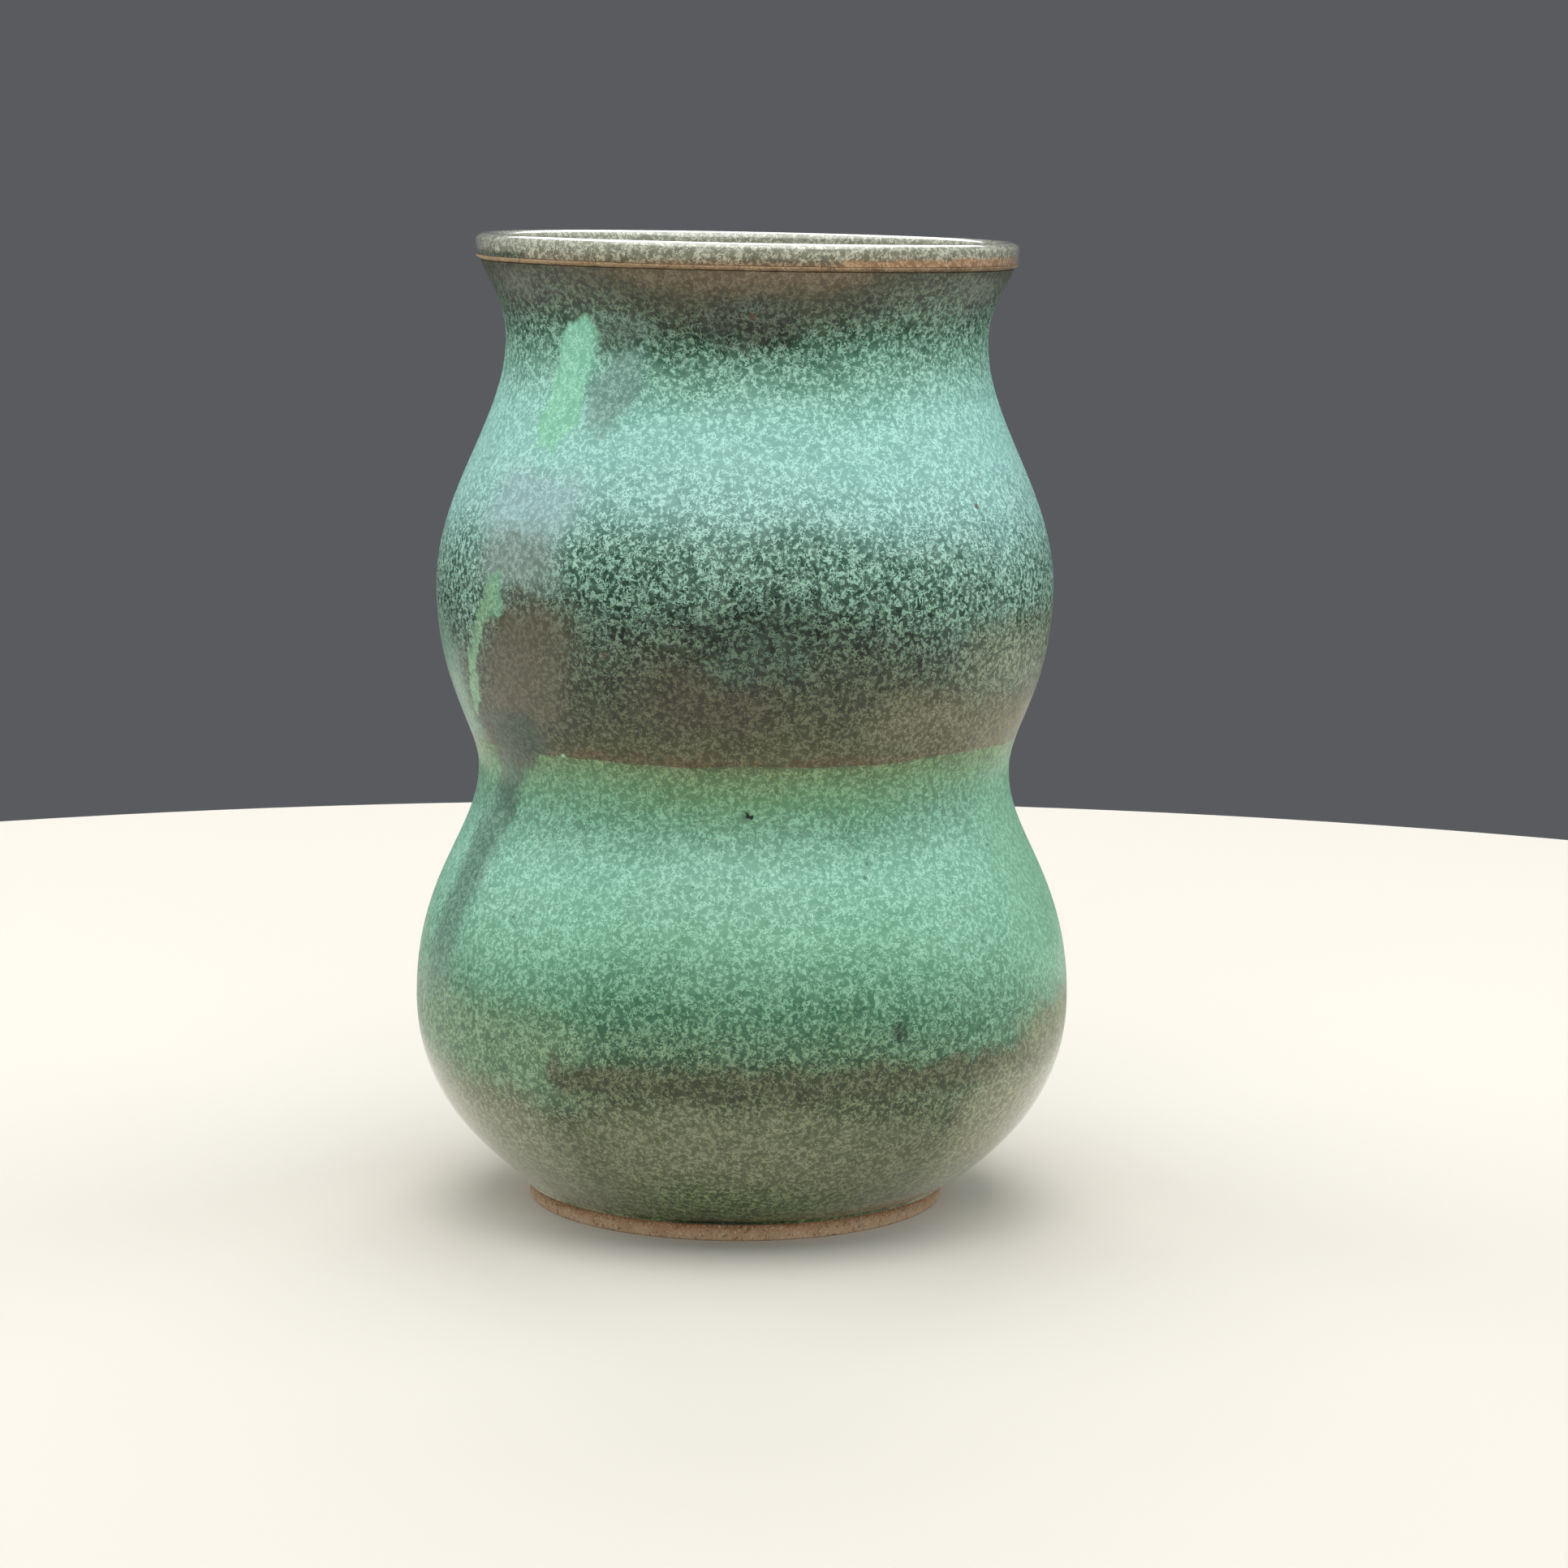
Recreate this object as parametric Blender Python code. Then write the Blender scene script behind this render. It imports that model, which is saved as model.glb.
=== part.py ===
"""Stoneware vase: one thrown clay body under four fired coats of glaze.

The vase is turned round the Z axis: a wide lower bulb on a trimmed foot ring, a waist, a smaller
upper bulb, a narrow neck and a flared mouth with a flat band round its rim.
Sizes are in millimetres and become metres where the meshes are made. +Z is up, and the origin is
the centre of the plane that the foot rests on.
"""

import math
from collections import namedtuple

import bmesh
import bpy

MM = 0.001

# A station is a place on a turned outline: its radius and height, how far the curve's handles reach
# below and above it, and how far its tangent leans out from upright, in degrees.
Station = namedtuple("Station", "radius height below above lean")

# The glazed outside, from the foot up.
OUTSIDE = (
    Station(radius=45.9, height=3.6, below=0.0, above=11.1, lean=41.0),  # foot line
    Station(radius=69.2, height=43.5, below=21.8, above=26.0, lean=0.0),  # lower bulb
    Station(radius=56.0, height=92.4, below=14.7, above=8.7, lean=0.0),  # waist
    Station(radius=64.8, height=130.5, below=21.2, above=19.7, lean=0.0),  # upper bulb
    Station(radius=50.3, height=181.4, below=16.3, above=8.4, lean=0.0),  # neck
    Station(radius=55.5, height=197.3, below=3.6, above=0.0, lean=16.0),  # under the rim band
)

# The glazed inside, from the edge of the flat floor up to the lip.
INSIDE = (
    Station(radius=32.0, height=10.1, below=0.0, above=14.0, lean=90.0),  # floor edge
    Station(radius=62.4, height=45.0, below=20.0, above=24.0, lean=0.0),  # lower bulb
    Station(radius=49.2, height=92.4, below=14.7, above=8.7, lean=0.0),  # waist
    Station(radius=58.0, height=130.5, below=21.2, above=19.7, lean=0.0),  # upper bulb
    Station(radius=43.6, height=181.4, below=16.3, above=7.0, lean=0.0),  # neck
    Station(radius=51.8, height=199.3, below=5.0, above=0.0, lean=18.0),  # lip
)

STRETCH_STEPS = 4  # pieces that each stretch between two stations is cut into
TURN_STEPS = 48  # pieces round the vase

COAT = 0.8  # thickness of a fired coat
GAP = 0.3  # clearance that stands in for the bond between a coat and what it covers
WAIST_LINE = 100.0  # where the two dips meet

BAND_FOOT = (56.8, 198.8)  # lower edge of the coat on the rim band
BAND_TOP = (56.95, 202.1)  # outer top edge
CREST = (54.75, 203.0)  # highest ring of the mouth, so also the vase's height
LIP_EDGE = (52.8, 202.2)  # where the rim turns down inside
LIP_END = (51.95, 199.6)  # lower edge of the rim coat inside the mouth
ARRIS = (56.7, 198.1)  # sharp bare edge under the band
BARE_EDGE = 0.4  # height of the bare clay that shows over the arris

FOOT_RADIUS = 43.9
FOOT_INNER_RADIUS = 36.0
FOOT_WALL_TOP = 3.3  # where the upright side of the foot ring ends
FOOT_CHAMFER = 0.7
FOOT_RECESS = 2.5  # depth trimmed out inside the foot ring


# ---------------------------------------------------------------- outlines

def bezier(start, start_handle, end_handle, end, t):
    """The point at t along a cubic curve."""
    weights = ((1 - t) ** 3, 3 * (1 - t) ** 2 * t, 3 * (1 - t) * t * t, t ** 3)
    corners = (start, start_handle, end_handle, end)
    return tuple(sum(w * c[axis] for w, c in zip(weights, corners)) for axis in (0, 1))


def turned_line(stations):
    """Points from the lowest station to the highest, along one smooth curve."""
    line = [(stations[0].radius, stations[0].height)]
    for low, high in zip(stations, stations[1:]):
        start = (low.radius, low.height)
        end = (high.radius, high.height)
        leaving = step_along(start, low.lean, low.above)
        arriving = step_along(end, high.lean, -high.below)
        for i in range(1, STRETCH_STEPS + 1):
            line.append(bezier(start, leaving, arriving, end, i / STRETCH_STEPS))
    return line


def step_along(point, lean, distance):
    """The point moved along a tangent that leans out from upright by lean degrees."""
    angle = math.radians(lean)
    return (point[0] + distance * math.sin(angle), point[1] + distance * math.cos(angle))


def with_height(line, height):
    """The line with one more point, where it passes the height."""
    for i, (low, high) in enumerate(zip(line, line[1:])):
        if low[1] < height < high[1]:
            t = (height - low[1]) / (high[1] - low[1])
            radius = low[0] + t * (high[0] - low[0])
            return line[: i + 1] + [(radius, height)] + line[i + 1:]
    return line


def shifted(line, distance):
    """The line moved sideways, to its left where the distance is positive, with mitred corners."""
    moved = []
    for i, point in enumerate(line):
        before = side_of(line[max(i - 1, 0)], line[max(i, 1)])
        after = side_of(line[min(i, len(line) - 2)], line[min(i + 1, len(line) - 1)])
        reach = distance / (1 + before[0] * after[0] + before[1] * after[1])
        moved.append((point[0] + reach * (before[0] + after[0]),
                      point[1] + reach * (before[1] + after[1])))
    return moved


def side_of(start, end):
    """Unit direction to the left of the way from start to end."""
    along = (end[0] - start[0], end[1] - start[1])
    length = math.hypot(*along)
    return (-along[1] / length, along[0] / length)


def coat_outline(face, back, low, high):
    """Closed outline of a coat: its face between two heights, then its back."""
    kept = [i for i, point in enumerate(face) if low <= point[1] <= high]
    return [face[i] for i in kept] + [back[i] for i in reversed(kept)]


# ---------------------------------------------------------------- solids

def turned_solid(name, outline, material):
    """One closed body, turned from an outline that is closed or starts and ends on the axis."""
    shape = bmesh.new()
    corners = [shape.verts.new((radius * MM, 0.0, height * MM)) for radius, height in outline]
    edges = [shape.edges.new(pair) for pair in zip(corners, corners[1:])]
    if outline[0][0] > 0:
        edges.append(shape.edges.new((corners[-1], corners[0])))
    bmesh.ops.spin(shape, geom=corners + edges, cent=(0, 0, 0), axis=(0, 0, 1),
                   angle=2 * math.pi, steps=TURN_STEPS, use_merge=True)
    bmesh.ops.remove_doubles(shape, verts=shape.verts, dist=0.001 * MM)
    bmesh.ops.recalc_face_normals(shape, faces=shape.faces)
    mesh = bpy.data.meshes.new(name)
    shape.to_mesh(mesh)
    shape.free()
    mesh.shade_smooth()
    mesh.set_sharp_from_angle(angle=math.radians(35))
    mesh.materials.append(material)
    solid = bpy.data.objects.new(name, mesh)
    bpy.context.scene.collection.objects.link(solid)
    return solid


def plain_material(name, colour, roughness):
    """A ceramic surface in one colour, given as red, green and blue from 0 to 1."""
    material = bpy.data.materials.new(name)
    material.use_nodes = True
    shader = material.node_tree.nodes["Principled BSDF"]
    shader.inputs["Base Color"].default_value = (*colour, 1.0)
    shader.inputs["Roughness"].default_value = roughness
    shader.inputs["Metallic"].default_value = 0.0
    material.diffuse_color = (*colour, 1.0)
    return material


# ---------------------------------------------------------------- the pieces

def stoneware_body(outside, band, inside):
    """Thrown and trimmed clay: foot ring, floor, wall, neck and rim band in one piece."""
    under_coat = COAT + GAP
    floor = [(0.0, inside[0][1] - under_coat)]
    inner_wall = shifted(inside, -under_coat)
    rim = shifted(band, under_coat)[::-1]
    bare_band = [(rim[-1][0], ARRIS[1] + BARE_EDGE), (BAND_FOOT[0], ARRIS[1] + BARE_EDGE), ARRIS]
    outer_wall = shifted(outside, under_coat)[::-1]
    lean = OUTSIDE[-1].lean
    ledge = [step_along(outside[-1], lean, GAP), step_along(outer_wall[0], lean, GAP)]
    foot_ring = [
        (FOOT_RADIUS, FOOT_WALL_TOP),
        (FOOT_RADIUS, FOOT_CHAMFER),
        (FOOT_RADIUS - FOOT_CHAMFER, 0.0),
        (FOOT_INNER_RADIUS + FOOT_CHAMFER, 0.0),
        (FOOT_INNER_RADIUS, FOOT_CHAMFER),
        (FOOT_INNER_RADIUS, FOOT_RECESS),
        (0.0, FOOT_RECESS),
    ]
    outline = floor + inner_wall + rim + bare_band + ledge + outer_wall + foot_ring
    clay = plain_material("bare_stoneware", (0.47, 0.32, 0.22), 0.85)
    turned_solid("stoneware_body", outline, clay)


def lower_glaze(outside):
    """First dip: over the lower bulb, from the foot line to the waist line."""
    outline = coat_outline(outside, shifted(outside, COAT), 0.0, WAIST_LINE)
    glaze = plain_material("lower_dip_glaze", (0.18, 0.33, 0.24), 0.3)
    turned_solid("lower_glaze", outline, glaze)


def upper_glaze(outside):
    """Second dip: from the waist line over the upper bulb and the neck, to under the band."""
    outline = coat_outline(outside, shifted(outside, COAT), WAIST_LINE + GAP, BAND_FOOT[1])
    glaze = plain_material("upper_dip_glaze", (0.16, 0.27, 0.2), 0.3)
    turned_solid("upper_glaze", outline, glaze)


def rim_glaze(band):
    """The coat on the rim band, over the crest and just inside the lip."""
    glaze = plain_material("rim_glaze", (0.3, 0.24, 0.17), 0.25)
    turned_solid("rim_glaze", band + shifted(band, COAT)[::-1], glaze)


def liner_glaze(inside):
    """The coat poured inside, over the wall and the floor."""
    back = shifted(inside, -COAT)
    floor = inside[0][1]
    outline = [(0.0, floor)] + inside + back[::-1] + [(0.0, floor - COAT)]
    glaze = plain_material("liner_glaze", (0.2, 0.29, 0.25), 0.25)
    turned_solid("liner_glaze", outline, glaze)


def main():
    for old in list(bpy.data.objects):
        bpy.data.objects.remove(old)
    outside = turned_line(OUTSIDE)
    for height in (WAIST_LINE, WAIST_LINE + GAP):
        outside = with_height(outside, height)
    band = [BAND_FOOT, BAND_TOP, CREST, LIP_EDGE, LIP_END]
    inside = turned_line(INSIDE)
    stoneware_body(outside, band, inside)
    lower_glaze(outside)
    upper_glaze(outside)
    rim_glaze(band)
    liner_glaze(inside)


main()
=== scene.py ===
import math
from collections import namedtuple

import bpy
from mathutils import Matrix, Vector


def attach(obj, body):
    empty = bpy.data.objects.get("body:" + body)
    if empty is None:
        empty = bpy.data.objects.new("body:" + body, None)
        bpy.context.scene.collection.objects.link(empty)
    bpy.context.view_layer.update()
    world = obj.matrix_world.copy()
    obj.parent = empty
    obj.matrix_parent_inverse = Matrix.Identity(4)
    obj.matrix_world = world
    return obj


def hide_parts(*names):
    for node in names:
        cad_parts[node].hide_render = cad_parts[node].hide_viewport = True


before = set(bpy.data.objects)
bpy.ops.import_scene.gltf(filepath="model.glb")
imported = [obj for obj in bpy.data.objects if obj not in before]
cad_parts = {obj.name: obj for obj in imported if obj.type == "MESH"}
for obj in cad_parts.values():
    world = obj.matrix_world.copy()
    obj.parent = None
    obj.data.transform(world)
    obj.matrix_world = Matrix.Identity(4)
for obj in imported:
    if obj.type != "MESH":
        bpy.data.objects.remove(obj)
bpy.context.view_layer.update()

MM = 0.001


# ------------------------------------------------------------------ the view
# The vase is looked at from just above its mouth, from nearly a metre away, through a long lens
# that is held a touch askew. The vase stands a little left of the middle of the view.

VIEW_DISTANCE = 894 * MM
VIEW_HEIGHT = 221.4 * MM
VIEW_DOWN = math.radians(8.484)
VIEW_RIGHT = math.radians(0.547)
VIEW_ASKEW = math.radians(0.53)
LENS_LENGTH = 98.07  # in millimetres, as Blender counts it
LENS_WIDTH = 36.0
NEAREST_SEEN = 10 * MM

lens = bpy.data.cameras.new("view")
lens.sensor_width = LENS_WIDTH
lens.lens = LENS_LENGTH
lens.clip_start = NEAREST_SEEN
camera = bpy.data.objects.new("view", lens)
bpy.context.scene.collection.objects.link(camera)
camera.matrix_world = (
    Matrix.Translation((0.0, -VIEW_DISTANCE, VIEW_HEIGHT))
    @ Matrix.Rotation(-VIEW_RIGHT, 4, "Z")
    @ Matrix.Rotation(math.pi / 2 - VIEW_DOWN, 4, "X")
    @ Matrix.Rotation(VIEW_ASKEW, 4, "Z")
)
bpy.context.scene.camera = camera
bpy.context.scene.view_settings.view_transform = "Standard"


# ------------------------------------------------------------------ the table and the light
# The vase stands in the middle of a round table with a pale top, in a plain grey room. Soft boxes
# stand overhead, behind, left, right and in front. Only the first two are mirrored in the glaze,
# because the others would show in it as hard bright panes.

TABLE_RADIUS = 550 * MM  # a wider one would grey the dark bands of the glaze with its reflection
TABLE_PALE = "#dbd6cc"
TABLE_STEPS_ROUND = 192
ROOM_GREY = "#595b5f"
ROOM_LIGHT = 1.0


def linear(colour):
    """The linear red, green, blue and alpha of an sRGB colour written as #rrggbb."""
    parts = (int(colour[i:i + 2], 16) / 255 for i in (1, 3, 5))
    return tuple(c / 12.92 if c <= 0.04045 else ((c + 0.055) / 1.055) ** 2.4 for c in parts) + (1.0,)


def feed(tree, node, inputs):
    """Fills a node's inputs, given by name or number, with plain values or by links from nodes."""
    for name, value in inputs.items():
        if isinstance(name, int):
            socket = node.inputs[name]
        else:
            socket = next(s for s in node.inputs if s.enabled and s.name == name)
        if isinstance(value, bpy.types.Node):
            value = next(s for s in value.outputs if s.enabled)
        if isinstance(value, bpy.types.NodeSocket):
            tree.links.new(value, socket)
        else:
            socket.default_value = value


def add(tree, kind, inputs=None, **settings):
    """Adds a node with its settings and fills its inputs."""
    made = tree.nodes.new(kind)
    for name, value in settings.items():
        setattr(made, name, value)
    feed(tree, made, inputs or {})
    return made


def new_finish(name, **settings):
    """A material with its tree and its Principled shader, whose plain sockets are set by name."""
    material = bpy.data.materials.new(name)
    material.use_nodes = True
    shader = material.node_tree.nodes["Principled BSDF"]
    for socket, value in settings.items():
        shader.inputs[socket.replace("_", " ").title().replace("Ior", "IOR")].default_value = value
    return material, material.node_tree, shader


# Matt paper laid over the table top: an even pale ground with a soft shadow and no shine.
paper = new_finish("table_paper", base_color=linear(TABLE_PALE), roughness=0.8)[0]

bpy.ops.mesh.primitive_circle_add(vertices=TABLE_STEPS_ROUND, radius=TABLE_RADIUS, fill_type="NGON")
table = bpy.context.object
table.name = "table_top"
table.data.materials.append(paper)

room = bpy.data.worlds.new("room")
room.use_nodes = True
room.node_tree.nodes["Background"].inputs["Color"].default_value = linear(ROOM_GREY)
room.node_tree.nodes["Background"].inputs["Strength"].default_value = ROOM_LIGHT
bpy.context.scene.world = room

SoftBox = namedtuple("SoftBox", "name place size power colour mirrored")
SOFT_BOXES = (
    SoftBox("overhead_box", (0.0, -0.2, 1.5), 1.6, 22.0, "#fffefc", True),
    SoftBox("back_box", (0.0, 1.1, 1.15), 0.9, 8.0, "#fffefc", True),
    SoftBox("left_box", (-1.25, 0.45, 0.5), 1.6, 14.0, "#f6fbff", False),
    SoftBox("right_box", (1.3, 0.25, 0.55), 1.6, 13.0, "#f2f9ff", False),
    SoftBox("front_box", (0.0, -2.2, 0.7), 2.0, 26.0, "#ffffff", False),
)
SOFT_BOX_AIM = Vector((0.0, 0.0, 0.1))
for box in SOFT_BOXES:
    glow = bpy.data.lights.new(box.name, "AREA")
    glow.shape = "SQUARE"
    glow.size = box.size
    glow.energy = box.power
    glow.color = linear(box.colour)[:3]
    lamp = bpy.data.objects.new(box.name, glow)
    bpy.context.scene.collection.objects.link(lamp)
    lamp.location = box.place
    lamp.rotation_euler = (SOFT_BOX_AIM - lamp.location).to_track_quat("-Z", "Y").to_euler()
    lamp.visible_glossy = box.mirrored


# ------------------------------------------------------------------ the clay
# One piece of buff stoneware, thrown on the wheel and trimmed underneath to a foot ring.
# Under the glazes it shows only at the foot and as the bare arris below the rim band.

# A station is a place on a curve, in millimetres, where it leans out from upright by lean degrees.
# below and above say how far the curve keeps to that lean on either side.
Station = namedtuple("Station", "radius height below above lean")
OUTSIDE = (
    Station(radius=45.0, height=4.0, below=0.0, above=11.5, lean=52.0),  # foot line
    Station(radius=69.2, height=43.5, below=21.8, above=26.0, lean=0.0),  # lower bulb
    Station(radius=56.0, height=92.4, below=14.7, above=8.7, lean=0.0),  # waist
    Station(radius=64.8, height=130.5, below=21.2, above=19.7, lean=0.0),  # upper bulb
    Station(radius=50.3, height=181.4, below=16.3, above=8.4, lean=0.0),  # neck
    Station(radius=55.5, height=197.3, below=3.6, above=0.0, lean=16.0),  # under the rim band
)
INSIDE = (
    Station(radius=32.0, height=10.1, below=0.0, above=14.0, lean=90.0),  # floor edge
    Station(radius=62.4, height=45.0, below=20.0, above=24.0, lean=0.0),  # lower bulb
    Station(radius=49.2, height=92.4, below=14.7, above=8.7, lean=0.0),  # waist
    Station(radius=58.0, height=130.5, below=21.2, above=19.7, lean=0.0),  # upper bulb
    Station(radius=43.6, height=181.4, below=16.3, above=7.0, lean=0.0),  # neck
    Station(radius=51.8, height=199.3, below=5.0, above=0.0, lean=18.0),  # lip
)
STRETCH_STEPS = 26  # pieces between two stations
STEPS_ROUND = 288
AXIS_RADIUS = 0.001 * MM  # the outline is spun round a circle as small as this
POLE_MERGE = 0.004 * MM  # points that meet on the axis become one
SHARP_EDGE = math.radians(40)
COAT = 0.8  # thickness of a fired coat
BED = 0.25  # clearance between a coat's back and the clay
WAIST_LINE = 100.0  # where the two dips meet


def step_along(point, lean, distance):
    """The point moved along a tangent that leans out from upright by lean degrees."""
    angle = math.radians(lean)
    return (point[0] + distance * math.sin(angle), point[1] + distance * math.cos(angle))


def thrown_line(stations):
    """Points up one smooth curve through the stations."""
    line = [(stations[0].radius, stations[0].height)]
    for low, high in zip(stations, stations[1:]):
        start = (low.radius, low.height)
        end = (high.radius, high.height)
        leaving = step_along(start, low.lean, low.above)
        arriving = step_along(end, high.lean, -high.below)
        for i in range(1, STRETCH_STEPS + 1):
            t = i / STRETCH_STEPS
            weights = ((1 - t) ** 3, 3 * (1 - t) ** 2 * t, 3 * (1 - t) * t * t, t ** 3)
            corners = (start, leaving, arriving, end)
            line.append(tuple(sum(w * c[axis] for w, c in zip(weights, corners)) for axis in (0, 1)))
    return line


def side_of(start, end):
    """Unit direction to the left of the way from start to end."""
    along = (end[0] - start[0], end[1] - start[1])
    length = math.hypot(*along)
    return (-along[1] / length, along[0] / length)


def shifted(line, distance):
    """The line moved sideways, to its left where the distance is positive, with mitred corners."""
    moved = []
    for i, point in enumerate(line):
        before = side_of(line[max(i - 1, 0)], line[max(i, 1)])
        after = side_of(line[min(i, len(line) - 2)], line[min(i + 1, len(line) - 1)])
        reach = distance / (1 + before[0] * after[0] + before[1] * after[1])
        moved.append((point[0] + reach * (before[0] + after[0]),
                      point[1] + reach * (before[1] + after[1])))
    return moved


def softened(corners, radius, steps=6):
    """The outline with each of its inner corners rounded off."""
    line = [corners[0]]
    for before, corner, after in zip(corners, corners[1:], corners[2:]):
        ends = []
        for other in (before, after):
            reach = math.dist(corner, other)
            share = min(radius, 0.45 * reach) / reach
            ends.append((corner[0] + share * (other[0] - corner[0]),
                         corner[1] + share * (other[1] - corner[1])))
        for i in range(steps + 1):
            t = i / steps
            line.append(tuple((1 - t) ** 2 * ends[0][k] + 2 * (1 - t) * t * corner[k]
                              + t * t * ends[1][k] for k in (0, 1)))
    line.append(corners[-1])
    return line


def part_of(line, low, high):
    """The stretch of a line that climbs from one height to the other, cut exactly at both."""
    kept = [point for point in line if low < point[1] < high]
    for height, place in ((low, 0), (high, len(kept) + 1)):
        for below, above in zip(line, line[1:]):
            if below[1] <= height <= above[1]:
                t = (height - below[1]) / (above[1] - below[1])
                kept.insert(place, (below[0] + t * (above[0] - below[0]), height))
                break
    return kept


def between(tree, value, low, high, start=0.0, end=1.0):
    """The value eased from start to end as it goes from low to high."""
    return add(tree, "ShaderNodeMapRange", {"Value": value, "From Min": low, "From Max": high,
                                            "To Min": start, "To Max": end},
               interpolation_type="SMOOTHSTEP")


def figure(tree, operation, *values):
    """Arithmetic on values and nodes."""
    return add(tree, "ShaderNodeMath", dict(enumerate(values)), operation=operation)


def turn_round(tree, split):
    """The angle round the axis of a place split into X, Y and Z: 0 in front, growing to the right."""
    return figure(tree, "ARCTAN2", split["X"], figure(tree, "MULTIPLY", split["Y"], -1.0))


def wheel_tree():
    """Spins an outline round the vase's axis, with throwing rings and a slightly wavy dip line."""
    tree = bpy.data.node_groups.new("turned_on_the_wheel", "GeometryNodeTree")
    sockets = {}
    for name, kind, value in (
        ("Outline", "Geometry", None),
        ("Steps Round", "Int", STEPS_ROUND),
        ("Ring Depth", "Float", 0.06 * MM),
        ("Ring Spacing", "Float", 5.5 * MM),
        ("Ring Drift", "Float", 9.0),
        ("Out Of Round", "Float", 0.15 * MM),
        ("Oval Turn", "Float", 0.7),
        ("Rim Slope", "Float", 0.0105),
        ("Rim Slope Low", "Float", 184 * MM),
        ("Rim Slope High", "Float", 198 * MM),
        ("Foot Off Centre", "Float", 1.1 * MM),
        ("Foot Low", "Float", 4 * MM),
        ("Foot High", "Float", 8 * MM),
        ("Line Height", "Float", WAIST_LINE * MM),
        ("Line Lean", "Float", 0.34),
        ("Line Wave", "Float", 0.0),
        ("Line Reach", "Float", 14 * MM),
        ("Seed", "Float", 3.0),
        ("Finish", "Material", None),
    ):
        socket = tree.interface.new_socket(name, in_out="INPUT", socket_type=f"NodeSocket{kind}")
        if value is not None:
            socket.default_value = value
        sockets[name] = socket.identifier
    tree.interface.new_socket("Turned", in_out="OUTPUT", socket_type="NodeSocketGeometry")
    given = add(tree, "NodeGroupInput").outputs

    circle = add(tree, "GeometryNodeCurvePrimitiveCircle",
                 {"Resolution": given["Steps Round"], "Radius": AXIS_RADIUS})
    outline = add(tree, "GeometryNodeTransform", {"Geometry": given["Outline"], "Scale": (1, -1, 1)})
    skin = add(tree, "GeometryNodeCurveToMesh", {"Curve": circle, "Profile Curve": outline})
    skin = add(tree, "GeometryNodeMergeByDistance", {"Geometry": skin, "Distance": POLE_MERGE})

    place = add(tree, "GeometryNodeInputPosition")
    split = add(tree, "ShaderNodeSeparateXYZ", {"Vector": place}).outputs
    flat = add(tree, "ShaderNodeCombineXYZ", {"X": split["X"], "Y": split["Y"]})
    outward = add(tree, "ShaderNodeVectorMath", {0: flat}, operation="NORMALIZE")
    turn = turn_round(tree, split)

    # Throwing rings, which drift a little on their way round, and a body that is slightly oval.
    ring_place = add(tree, "ShaderNodeCombineXYZ", {
        "X": figure(tree, "MULTIPLY", split["X"], given["Ring Drift"]),
        "Y": figure(tree, "MULTIPLY", split["Y"], given["Ring Drift"]),
        "Z": figure(tree, "DIVIDE", split["Z"], given["Ring Spacing"]),
    })
    rings = add(tree, "ShaderNodeTexNoise", {"Vector": ring_place, "W": given["Seed"], "Scale": 1.0,
                                             "Detail": 1.0}, noise_dimensions="4D")
    rings = figure(tree, "MULTIPLY", figure(tree, "SUBTRACT", rings, 0.5), given["Ring Depth"])
    oval = figure(tree, "COSINE", figure(tree, "MULTIPLY_ADD", turn, 2.0, given["Oval Turn"]))
    oval = figure(tree, "MULTIPLY_ADD", oval, given["Out Of Round"], rings)

    # The line where the two dips meet wanders up and down, and their skins follow it in and out.
    off_line = figure(tree, "ABSOLUTE", figure(tree, "SUBTRACT", split["Z"], given["Line Height"]))
    near = between(tree, off_line, 0.0, given["Line Reach"], 1.0, 0.0)
    wave = add(tree, "ShaderNodeTexNoise", {"Vector": outward, "Scale": 1.7, "Detail": 2.0,
                                            "Roughness": 0.55})
    wave = figure(tree, "SUBTRACT", wave, 0.5)
    rise = figure(tree, "MULTIPLY", figure(tree, "MULTIPLY", wave, given["Line Wave"]), near)
    out = figure(tree, "MULTIPLY_ADD", rise, given["Line Lean"], oval)

    # The rim slopes down to the right, and the foot stands a little to the left.
    high = between(tree, split["Z"], given["Rim Slope Low"], given["Rim Slope High"])
    fall = figure(tree, "MULTIPLY", figure(tree, "MULTIPLY", high, given["Rim Slope"]), split["X"])
    rise = figure(tree, "SUBTRACT", rise, fall)
    low = between(tree, split["Z"], given["Foot High"], given["Foot Low"])
    aside = figure(tree, "MULTIPLY", figure(tree, "MULTIPLY", given["Foot Off Centre"], -1.0), low)

    shift = add(tree, "ShaderNodeVectorMath", {0: outward, "Scale": out}, operation="SCALE")
    lift = add(tree, "ShaderNodeCombineXYZ", {"X": aside, "Z": rise})
    shift = add(tree, "ShaderNodeVectorMath", {0: shift, 1: lift}, operation="ADD")
    skin = add(tree, "GeometryNodeSetPosition", {"Geometry": skin, "Offset": shift})
    skin = add(tree, "GeometryNodeRealizeInstances", {"Geometry": skin})
    skin = add(tree, "GeometryNodeSetMaterial", {"Geometry": skin, "Material": given["Finish"]})
    add(tree, "NodeGroupOutput", {"Turned": skin})
    return tree, sockets


wheel, wheel_inputs = wheel_tree()


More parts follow.
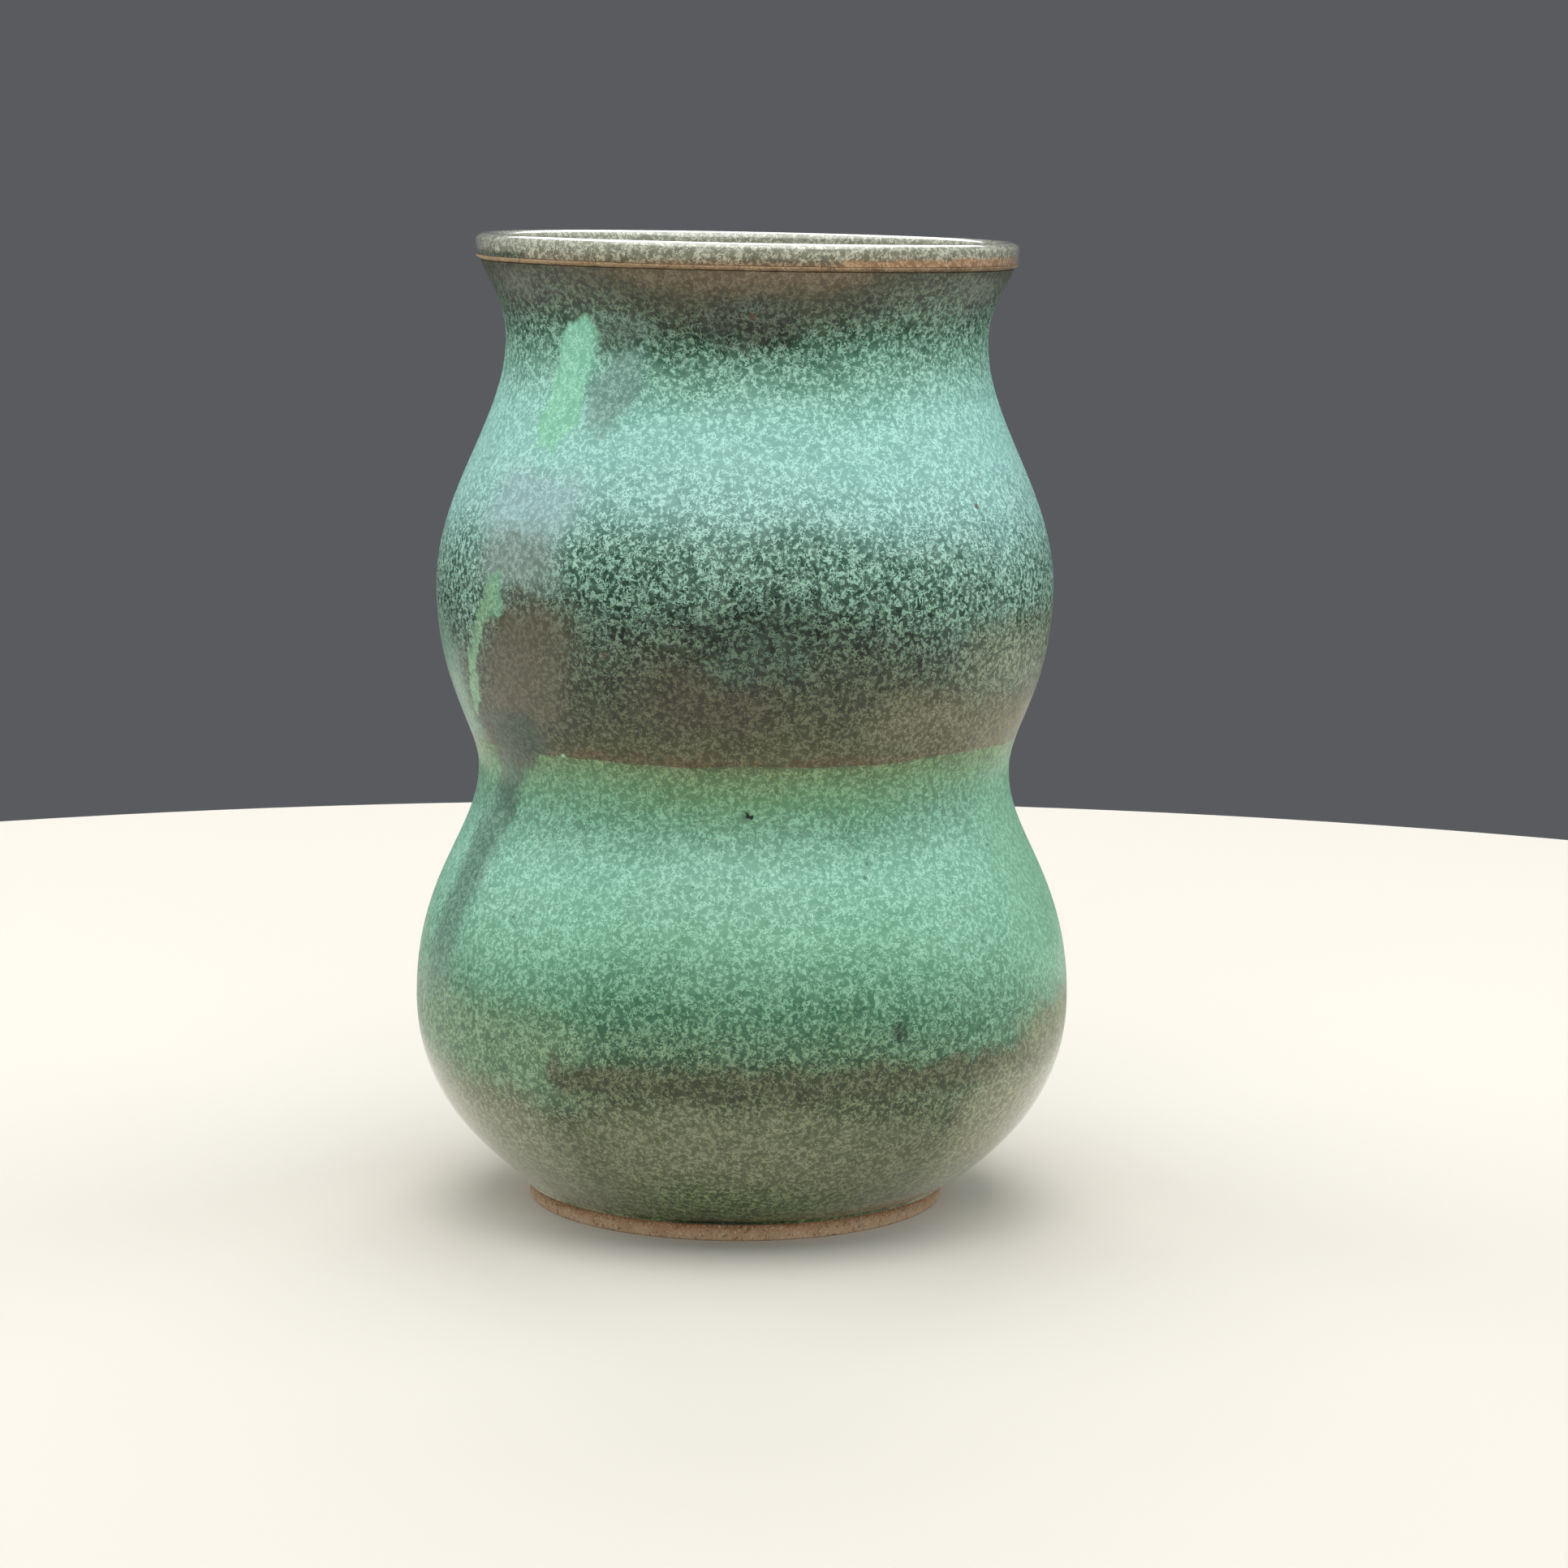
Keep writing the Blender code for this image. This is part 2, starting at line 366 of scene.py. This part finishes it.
def turned_piece(name, outline, material, **settings):
    """One closed piece, spun from an outline in millimetres; settings are inputs of the wheel."""
    curve = bpy.data.curves.new(name, "CURVE")
    curve.dimensions = "3D"
    spline = curve.splines.new("POLY")
    spline.points.add(len(outline) - 1)
    for point, (radius, height) in zip(spline.points, outline):
        point.co = (radius * MM, height * MM, 0.0, 1.0)
    spline.use_cyclic_u = outline[0][0] > 0
    drawn = bpy.data.objects.new(name + "_outline", curve)
    bpy.context.scene.collection.objects.link(drawn)
    spin = drawn.modifiers.new("wheel", "NODES")
    spin.node_group = wheel
    for setting, value in settings.items():
        spin[wheel_inputs[setting.replace("_", " ").title()]] = value
    spin[wheel_inputs["Finish"]] = material
    ready = drawn.evaluated_get(bpy.context.evaluated_depsgraph_get())
    mesh = bpy.data.meshes.new_from_object(ready)
    mesh.name = name
    bpy.data.objects.remove(drawn)
    mesh.shade_smooth()
    mesh.set_sharp_from_angle(angle=SHARP_EDGE)
    piece = bpy.data.objects.new(name, mesh)
    bpy.context.scene.collection.objects.link(piece)
    return piece


def skin_places(tree):
    """Where a point of the skin is: in millimetres, its height, and its degrees round to the right."""
    place = add(tree, "ShaderNodeTexCoord").outputs["Object"]
    place = add(tree, "ShaderNodeVectorMath", {0: place, "Scale": 1 / MM}, operation="SCALE")
    split = add(tree, "ShaderNodeSeparateXYZ", {"Vector": place}).outputs
    turn = figure(tree, "MULTIPLY", turn_round(tree, split), math.degrees(1))
    return place, split["Z"], turn


def colour_bands(tree, height, bands):
    """A colour for each height, blended between bands given as (height, colour)."""
    low, high = bands[0][0], bands[-1][0]
    along = add(tree, "ShaderNodeMapRange", {"Value": height, "From Min": low, "From Max": high})
    ramp = add(tree, "ShaderNodeValToRGB", {"Fac": along})
    stops = ramp.color_ramp.elements
    while len(stops) < len(bands):
        stops.new(0.5)
    for stop, (level, colour) in zip(stops, bands):
        stop.position = (level - low) / (high - low)
        stop.color = linear(colour)
    return ramp


def grains(tree, place, size, detail=2.0, bend=0.0, seed=0.0):
    """Soft grains from 0 to 1, about size millimetres apart."""
    moved = add(tree, "ShaderNodeVectorMath", {0: place, 1: (seed, 2 * seed, -seed)}, operation="ADD")
    return add(tree, "ShaderNodeTexNoise", {"Vector": moved, "Scale": 1 / size, "Detail": detail,
                                            "Distortion": bend})


def mixed(tree, share, first, second):
    """The first colour turning to the second as the share goes from 0 to 1."""
    return add(tree, "ShaderNodeMix", {"Factor": share, "A": first, "B": second}, data_type="RGBA")


# Bare fired stoneware: dry and grainy, buff with fine iron specks, flashed orange where the
# glaze ends above it.
CLAY_BANDS = (
    (0.0, "#b9a083"),  # foot ring
    (2.0, "#ac8f71"),
    (3.0, "#8d6848"),
    (3.9, "#5d3f26"),  # flashed line under the glaze
    (6.0, "#a58a6b"),
    (197.0, "#5a4a36"),  # shade under the rim band
    (197.8, "#6a563e"),
    (198.2, "#a88c6c"),  # arris
)
clay, tree, shader = new_finish("bare_stoneware", roughness=0.82, ior=1.5)
place, height = skin_places(tree)[:2]
waver = figure(tree, "SUBTRACT", grains(tree, place, 2.5, detail=3.0, seed=4), 0.5)
buff = colour_bands(tree, figure(tree, "MULTIPLY_ADD", waver, 1.6, height), CLAY_BANDS)
cloud = between(tree, grains(tree, place, 5.0, seed=7), 0.35, 0.7, 0.0, 0.4)
body = mixed(tree, cloud, buff, linear("#96795a"))
grit = between(tree, grains(tree, place, 0.45, detail=2.0, seed=8), 0.52, 0.72, 0.0, 0.5)
body = mixed(tree, grit, body, linear("#dcc6a8"))
iron = between(tree, grains(tree, place, 0.7, detail=2.0, seed=9), 0.56, 0.7, 0.0, 0.7)
body = mixed(tree, iron, body, linear("#5f412b"))
tooth = grains(tree, place, 0.5, detail=4.0)
bump = add(tree, "ShaderNodeBump", {"Height": tooth, "Strength": 0.6, "Distance": 0.2 * MM})
feed(tree, shader, {"Base Color": body, "Normal": bump})

FOOT_RADIUS = 44.2
FOOT_INNER_RADIUS = 36.0
FOOT_RECESS = 2.5
FOOT_WALL_TOP = 3.6
BAND_FOOT = (56.4, 198.45)  # lower edge of the coat on the rim band
BAND_TOP = (56.55, 202.1)
CREST = (54.6, 203.0)
LIP_EDGE = (52.8, 202.2)
LIP_END = (51.95, 199.6)
RIM_CORNERS = (BAND_FOOT, BAND_TOP, CREST, LIP_EDGE, LIP_END)
ARRIS = (56.35, 198.0)

outside = thrown_line(OUTSIDE)
inside = thrown_line(INSIDE)
under = COAT + BED
top = outside[-1]
foot_ring = softened([
    (0.0, FOOT_RECESS),
    (FOOT_INNER_RADIUS, FOOT_RECESS),
    (FOOT_INNER_RADIUS + 0.3, 0.0),
    (FOOT_RADIUS - 0.1, 0.0),
    (FOOT_RADIUS, FOOT_WALL_TOP),
    shifted(outside, under)[0],
], 0.6)
rim_core = shifted(RIM_CORNERS, under)
arris = softened([
    shifted(outside, 0.3)[-1],
    (top[0] + 0.05, top[1] + 0.3),
    ARRIS,
    (BAND_FOOT[0], BAND_FOOT[1] - 0.05),
    (rim_core[0][0], BAND_FOOT[1] - 0.05),
], 0.2)
clay_outline = (foot_ring + shifted(outside, under)[1:] + arris + rim_core
                + shifted(inside, -under)[::-1] + [(0.0, inside[0][1] - under)])
clay_body = turned_piece("clay_body", clay_outline, clay)
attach(clay_body, "root")
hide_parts("stoneware_body")


# ------------------------------------------------------------------ the lower glaze
# The first dip: an opaque, satin copper-green glaze over the lower bulb. It is pale where it lies
# thin under the waist, and breaks to mottled dark green below the belly and at its rolled foot.

LOWER_GROUND = (
    (3.9, "#0d1409"),
    (5.0, "#29361c"),
    (8.0, "#334326"),
    (12.0, "#3a472b"),
    (18.0, "#525a41"),
    (31.0, "#4b5339"),
    (36.0, "#232e19"),
    (44.0, "#1f412b"),
    (54.0, "#336147"),
    (66.0, "#659779"),
    (78.0, "#72a68e"),
    (86.0, "#58836a"),
    (93.0, "#4e7750"),
    (98.0, "#4b6441"),
    (100.5, "#3f4a2b"),
)
LOWER_CRYSTAL = (
    (3.9, "#34452a"),
    (5.0, "#6c7f55"),
    (8.0, "#809465"),
    (12.0, "#88976f"),
    (18.0, "#8e9576"),
    (31.0, "#858d6e"),
    (36.0, "#7d8b69"),
    (44.0, "#7b9d7a"),
    (54.0, "#80af90"),
    (66.0, "#9acfb4"),
    (78.0, "#a7dbc4"),
    (86.0, "#8ec2a5"),
    (93.0, "#80a981"),
    (98.0, "#83a375"),
    (100.5, "#727b59"),
)


def crystals(tree, place):
    """Pale crystals like short bent threads: 1 on a thread, 0 in the dark glaze between them."""
    field = grains(tree, place, 0.92, detail=0.0, bend=2.0, seed=11)
    off_thread = figure(tree, "ABSOLUTE", figure(tree, "SUBTRACT", field, 0.5))
    thread = between(tree, off_thread, 0.2, 0.02)
    clump = between(tree, grains(tree, place, 1.0, detail=0.0, bend=0.5, seed=31), 0.33, 0.62, 0.1, 1.0)
    cloud = figure(tree, "SUBTRACT", grains(tree, place, 3.5, detail=2.0, seed=5), 0.4)
    thread = figure(tree, "MULTIPLY", thread, clump)
    return add(tree, "ShaderNodeMath", {0: cloud, 1: 0.5, 2: thread}, operation="MULTIPLY_ADD",
               use_clamp=True)


def specks(tree, place, spacing, size, share, seed):
    """Round specks of one size in millimetres: 1 on a speck. Only a share of the places has one."""
    moved = add(tree, "ShaderNodeVectorMath", {0: place, 1: (seed, seed, seed)}, operation="ADD")
    cells = add(tree, "ShaderNodeTexVoronoi", {"Vector": moved, "Scale": 1 / spacing}).outputs
    kept = figure(tree, "LESS_THAN", add(tree, "ShaderNodeSeparateColor", {0: cells["Color"]}), share)
    reach = size / 2 / spacing
    return figure(tree, "MULTIPLY", kept, between(tree, cells["Distance"], 1.25 * reach, 0.75 * reach))


# A mark is a window of the skin where the glaze differs: from left to right in degrees round, from
# low to high in millimetres. It leans to the right by lean degrees a millimetre, its corners are
# rounded over about soft, and blur says how far its edge fades: 0.5 is a haze, 0.1 a crisp edge.
Mark = namedtuple("Mark", "left right low high lean soft blur ground crystal")


def marked(tree, turn, height, ground, crystal, marks):
    """Ground and crystal colours with each mark laid over those before it."""
    for mark in marks:
        rise = figure(tree, "SUBTRACT", height, (mark.low + mark.high) / 2)
        upright = figure(tree, "MULTIPLY_ADD", rise, -mark.lean, turn)
        share = None
        for value, low, high in ((upright, mark.left, mark.right), (height, mark.low, mark.high)):
            for edge, way in ((low, 1), (high, -1)):
                inside = between(tree, value, edge - way * mark.soft, edge + way * mark.soft)
                share = inside if share is None else figure(tree, "MULTIPLY", share, inside)
        share = between(tree, share, 0.5 - mark.blur, 0.5 + mark.blur)
        ground = mixed(tree, share, ground, linear(mark.ground))
        crystal = mixed(tree, share, crystal, linear(mark.crystal))
    return ground, crystal


# What coat_finish makes: the material with its tree and shader, the nodes that say where a point of
# the skin is and how high, and the colour of the skin.
Glaze = namedtuple("Glaze", "material tree shader place height skin")
DRIFT_SIZE = 30.0  # the bands drift up and down over places of this size, in millimetres,
FLECK_SIZE = 1.2  # and break up at their edges into flecks of this size
FLECK_SHARE = 0.55  # flecks move by this share of what the drift does
RAGGED_SIZE = 5.0  # the edges of marks wander in steps of this size,
RAGGED_TURN = 5.0  # to the left and right by a share of these degrees
SIDES_FROM, SIDES_TO = 5.0, 50.0  # towards the sides the bands draw in to the middle height
SIDES_PULL = 0.2  # by this share of the way
CALM_REACH = 7.0  # this close to the line where the dips meet the bands stray less,
CALM_SHARE = 0.3  # and on the line only by this share


def coat_finish(name, bands_ground, bands_crystal, marks, middle, seed, wander, **settings):
    """The finish of a coat: bands of ground and crystal colour up the wall, marks and crystals.

    The bands wander up and down by a share of wander millimetres, less so where the dips meet, and
    draw in to the middle height at both sides of the vase.
    """
    material, tree, shader = new_finish(name, **settings)
    place, height, turn = skin_places(tree)
    drift = figure(tree, "SUBTRACT", grains(tree, place, DRIFT_SIZE, detail=2.0, seed=seed), 0.5)
    fleck = figure(tree, "SUBTRACT", grains(tree, place, FLECK_SIZE, seed=seed), 0.5)
    ragged = figure(tree, "SUBTRACT", grains(tree, place, RAGGED_SIZE, detail=4.0, seed=seed + 3), 0.5)
    sides = between(tree, figure(tree, "ABSOLUTE", turn), SIDES_FROM, SIDES_TO, 0.0, SIDES_PULL)
    pull = figure(tree, "MULTIPLY", figure(tree, "SUBTRACT", middle, height), sides)
    strays = figure(tree, "MULTIPLY_ADD", drift, wander, pull)
    strays = figure(tree, "MULTIPLY_ADD", fleck, FLECK_SHARE * wander, strays)
    off_line = figure(tree, "ABSOLUTE", figure(tree, "SUBTRACT", height, WAIST_LINE))
    free = between(tree, off_line, 0.0, CALM_REACH, CALM_SHARE, 1.0)
    level = figure(tree, "MULTIPLY_ADD", strays, free, height)
    ground = colour_bands(tree, level, bands_ground)
    crystal = colour_bands(tree, level, bands_crystal)
    ragged_turn = figure(tree, "MULTIPLY_ADD", ragged, RAGGED_TURN, turn)
    ragged_height = figure(tree, "MULTIPLY_ADD", ragged, -wander, height)
    ground, crystal = marked(tree, ragged_turn, ragged_height, ground, crystal, marks)
    skin = mixed(tree, crystals(tree, place), ground, crystal)
    feed(tree, shader, {"Base Color": skin})
    return Glaze(material, tree, shader, place, height, skin)


SATIN_ROUGHNESS = 0.38  # of a satin glaze, between gloss and matt
SATIN_RANGE = 0.05


def satin(glaze):
    """The fired surface: satin, finely pebbled, and a little glossier in some places than others."""
    tree = glaze.tree
    pebbled = add(tree, "ShaderNodeBump", {"Height": grains(tree, glaze.place, 1.4, seed=21),
                                           "Strength": 0.25, "Distance": 0.08 * MM})
    patches = grains(tree, glaze.place, 14.0, seed=22)
    feed(tree, glaze.shader, {
        "Roughness": between(tree, patches, 0.3, 0.7, SATIN_ROUGHNESS - SATIN_RANGE,
                             SATIN_ROUGHNESS + SATIN_RANGE),
        "Normal": pebbled,
    })


def speckled(glaze, spacing, size, share, seed, colour, strength):
    """Lays specks of a colour over the glaze, which show through it by their strength."""
    spots = specks(glaze.tree, glaze.place, spacing, size, share, seed)
    spots = figure(glaze.tree, "MULTIPLY", spots, strength)
    skin = mixed(glaze.tree, spots, glaze.skin, linear(colour))
    feed(glaze.tree, glaze.shader, {"Base Color": skin})


LOWER_MARKS = (
    Mark(-63, -54, 84, 99, 0.36, 4.0, 0.5, "#41604f", "#67806c"),  # dark trail below the run
    Mark(-71, -60, 44, 88, 0.1, 5.0, 0.5, "#4f7562", "#82a68f"),  # where it thins out
    Mark(-63, -46, 96, 103, 0.0, 3.0, 0.5, "#33402f", "#566552"),  # its dark head
    Mark(58, 110, 50, 92, 0.0, 12.0, 0.5, "#71a486", "#97cbaa"),  # smooth green on the right
    Mark(-74, -28, 32, 50, 0.0, 8.0, 0.5, "#45654a", "#88aa85"),  # paler at the left of the band
    Mark(-34, 160, 34, 40.5, 0.0, 3.0, 0.5, "#273019", "#6f785a"),  # brown band
    Mark(55, 100, 37, 46, 0.0, 7.0, 0.5, "#58603f", "#8e9670"),  # its ochre end
    Mark(-130, -36, 5, 32, 0.0, 9.0, 0.5, "#676c52", "#9fa48a"),  # painted reflection of the pale table on both low flanks
    Mark(43, 130, 5, 36, 0.0, 9.0, 0.5, "#6b6f54", "#a5a788"),
    Mark(-130, -54, -5, 14, 0.0, 8.0, 0.5, "#9da087", "#c3c6af"),  # more painted reflection of the table, above the foot
    Mark(54, 130, -5, 14, 0.0, 8.0, 0.5, "#8f937a", "#bbbea6"),
    Mark(25.5, 28.5, 45.5, 48.5, 0.0, 1.5, 0.5, "#1c3325", "#55745c"),  # small dark cluster
    Mark(0.4, 1.8, 89.4, 90.7, 0.0, 0.3, 0.4, "#18221b", "#26332b"),  # one big dark speck
)
GLOSS_TOP, GLOSS_FULL = 44.0, 28.0  # the gloss comes in between these heights
GLOSS_FROM, GLOSS_TO = 0.45, 0.8  # and as the skin turns edge-on
DIP_WAVE = 4 * MM  # how far the line between the dips may wander

# Satin copper-green glaze: soft broad highlights over mottled green. Low down it is glossier, and
# where it is seen edge-on there it mirrors the table, so the low flanks look pale; the flank marks
# add painted reflection of the table on top of that.
lower = coat_finish("satin_green_glaze", LOWER_GROUND, LOWER_CRYSTAL, LOWER_MARKS, middle=76.0,
                    seed=1, wander=9.0, ior=1.5, coat_roughness=0.12)
satin(lower)
edge_on = add(lower.tree, "ShaderNodeLayerWeight", {"Blend": 0.5}).outputs["Facing"]
edge_on = between(lower.tree, edge_on, GLOSS_FROM, GLOSS_TO)
low_down = between(lower.tree, lower.height, GLOSS_TOP, GLOSS_FULL)
feed(lower.tree, lower.shader, {"Coat Weight": figure(lower.tree, "MULTIPLY", edge_on, low_down)})
speckled(lower, spacing=4.2, size=0.8, share=0.6, seed=2.0, colour="#35503f", strength=0.6)

lower_face = part_of(outside, OUTSIDE[0].height + 0.2, WAIST_LINE)
lower_back = shifted(lower_face, COAT)
ROLL = ((FOOT_RADIUS + 0.1, 3.9), (44.7, 3.5), (45.4, 4.0))  # the thick edge rolled over at the foot
roll = softened([lower_back[0], *ROLL, lower_face[0]], 0.5)
lower_dip = turned_piece("lower_dip", roll[1:-1] + lower_face + lower_back[::-1], lower.material,
                         line_wave=DIP_WAVE)
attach(lower_dip, "root")
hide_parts("lower_glaze")


# ------------------------------------------------------------------ the upper glaze
# The second dip, from the waist up to the rim band: it breaks into bands of seafoam, dark green and
# brown as its thickness changes, and is full of pale crystals like short bent threads.

UPPER_GROUND = (
    (100.0, "#3a3f24"),
    (104.0, "#35381c"),
    (112.0, "#1d2410"),
    (120.0, "#10180b"),
    (128.0, "#06120a"),
    (136.0, "#0c2c1e"),
    (144.0, "#2f5346"),
    (152.0, "#6b978d"),
    (160.0, "#80b1a7"),
    (168.0, "#7bb0a3"),
    (176.0, "#4f7e6b"),
    (181.0, "#164029"),
    (186.0, "#08160c"),
    (191.0, "#2d2e1f"),
    (196.0, "#594b35"),
)
UPPER_CRYSTAL = (
    (100.0, "#727656"),
    (104.0, "#6f7356"),
    (112.0, "#676e53"),
    (120.0, "#67755c"),
    (128.0, "#77917a"),
    (136.0, "#99c3ab"),
    (144.0, "#a8d1bf"),
    (152.0, "#b8e6dc"),
    (160.0, "#b4e7da"),
    (168.0, "#b5eadb"),
    (176.0, "#a9dac4"),
    (181.0, "#93bca3"),
    (186.0, "#6c826a"),
    (191.0, "#5c5f49"),
    (196.0, "#81735a"),
)
UPPER_MARKS = (
    Mark(-58, -33, 143, 156, 0.3, 6.0, 0.5, "#83a39f", "#abcdca"),  # painted reflection: a lilac-grey haze below the run
    Mark(-56, -36, 133, 145, 0.0, 6.0, 0.5, "#66796f", "#96aca3"),  # the painted reflection, fading darker downwards
    Mark(-36, -25, 166, 181, 0.3, 4.0, 0.5, "#688c80", "#9cc1b5"),  # greyer glaze right of the run
    Mark(-40, -22, 182, 188, 0.0, 4.0, 0.5, "#36473a", "#76907e"),  # dark glaze right of the top of the run
    Mark(-48.5, -38, 162, 187, 0.2, 4.0, 0.25, "#7abb9a", "#a9e4c9"),  # mint run
    Mark(-56, -34, 103, 132, 0.3, 8.0, 0.5, "#4c4a3a", "#6e6c5b"),  # smooth taupe
    Mark(-53, -49, 128.5, 137.5, 0.0, 1.8, 0.35, "#5f8d71", "#8fb99c"),  # drop of mint over it
    Mark(-130, -67, 80, 124, 0.0, 8.0, 0.5, "#5c7d69", "#82a88f"),  # pale glaze far left
    Mark(-60.2, -56.6, 106, 134, 0.5, 1.6, 0.35, "#638a68", "#93b896"),  # light strip
    Mark(-62, -43, 97, 107.5, 0.0, 4.0, 0.45, "#2c392b", "#526250"),  # dark pool at the waist
    Mark(-43, 165, 99, 101.4, 0.0, 1.2, 0.5, "#413a22", "#6d6347"),  # thin brown line at the waist
    Mark(-41, -39, 100.3, 102.0, 0.0, 0.5, 0.4, "#8fae8e", "#a9c4a5"),  # pale chip
    Mark(53, 80, 99, 110, 0.0, 6.0, 0.5, "#535233", "#807d5a"),  # ochre end of that line
    Mark(24, 62, 101, 114, 0.0, 8.0, 0.5, "#47472d", "#83846a"),  # olive glaze left of that end
    Mark(44, 150, 113, 127, 0.0, 8.0, 0.5, "#33432f", "#94a388"),  # paler crystals on the right
    Mark(-18, 6, 106, 121, 0.0, 7.0, 0.5, "#2a2a1b", "#625f4b"),  # browner patch in front
    Mark(-8, 14, 117, 132, 0.0, 7.0, 0.5, "#08120a", "#617b65"),  # darker patch above it
    Mark(-10, 12, 184, 191, 0.0, 4.0, 0.5, "#10170e", "#616e5c"),  # dark patch under the neck
)
# Satin crystalline glaze: broad soft bands, each of them grainy with pale threads on dark, and a
# few rust-red spots where iron came through.
upper = coat_finish("banded_crystal_glaze", UPPER_GROUND, UPPER_CRYSTAL, UPPER_MARKS, middle=162.0,
                    seed=3, wander=9.0, ior=1.5)
satin(upper)
speckled(upper, spacing=16.0, size=1.3, share=0.5, seed=2.0, colour="#5d3626", strength=0.7)

UPPER_END = top[1] - 0.01  # just under the bare arris
upper_face = part_of(outside, WAIST_LINE, UPPER_END)
upper_dip = turned_piece("upper_dip", upper_face + shifted(upper_face, COAT)[::-1], upper.material,
                         line_wave=DIP_WAVE)
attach(upper_dip, "root")
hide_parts("upper_glaze")


# ------------------------------------------------------------------ the rim coat
# A thin glossy coat over the rim band and the crest, mottled tan and grey-green, so thin that the
# clay's colour shows through.

RIM_GROUND = (
    (198.4, "#735b41"),
    (199.1, "#5f5540"),
    (199.8, "#676652"),
    (201.0, "#787966"),
    (202.2, "#8f917f"),
    (203.0, "#84877a"),
)
RIM_CRYSTAL = (
    (198.4, "#b39678"),
    (199.1, "#a99c80"),
    (199.8, "#bdb9a1"),
    (201.0, "#c9cbb7"),
    (202.2, "#d8dac9"),
    (203.0, "#c4c7b8"),
)
RIM_MARKS = (
    Mark(-100, -52, 198.0, 200.2, -0.02, 0.8, 0.5, "#39422f", "#7d856d"),  # green pooled at the left
    Mark(20, 120, 198.0, 199.5, 0.0, 0.6, 0.5, "#8c6c4c", "#bf9f7e"),  # clay showing at the right
)
# Glossy thin glaze: crisp white lines of light along the crest, over mottled stone colours.
rim = coat_finish("thin_rim_glaze", RIM_GROUND, RIM_CRYSTAL, RIM_MARKS, middle=200.5, seed=6,
                  wander=1.4, roughness=0.2, ior=1.5, coat_weight=1.0, coat_roughness=0.06)
rim_back = shifted(RIM_CORNERS, COAT)
rim_coat = turned_piece("rim_coat", softened(RIM_CORNERS, 0.8) + rim_back[::-1], rim.material)
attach(rim_coat, "root")
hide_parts("rim_glaze")


# ------------------------------------------------------------------ the liner
# The glaze poured inside and out again before the dips, grey-green over visible throwing rings.

LINER_GROUND = (
    (9.0, "#3f5648"),
    (60.0, "#4d6a5a"),
    (120.0, "#557564"),
    (180.0, "#50705f"),
    (200.0, "#4a6354"),
)
LINER_CRYSTAL = (
    (9.0, "#6f8c7b"),
    (60.0, "#86a896"),
    (120.0, "#93b8a6"),
    (180.0, "#8fb3a1"),
    (200.0, "#87a595"),
)
LINER_MARKS = (
    Mark(90, 170, 100, 205, 0.0, 15.0, 0.5, "#6fae9c", "#a5d9ca"),  # teal on the far right
)
LINER_RING_DEPTH = 0.12 * MM

# Glossy plain glaze: wet-looking grey-green with small highlights on the throwing rings.
liner = coat_finish("liner_green_glaze", LINER_GROUND, LINER_CRYSTAL, LINER_MARKS, middle=120.0,
                    seed=8, wander=9.0, roughness=0.22, ior=1.5)
floor_height = inside[0][1]
liner_outline = [(0.0, floor_height - COAT), *shifted(inside, -COAT), *inside[::-1], (0.0, floor_height)]
liner_coat = turned_piece("liner_coat", liner_outline, liner.material, ring_depth=LINER_RING_DEPTH)
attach(liner_coat, "root")
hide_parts("liner_glaze")
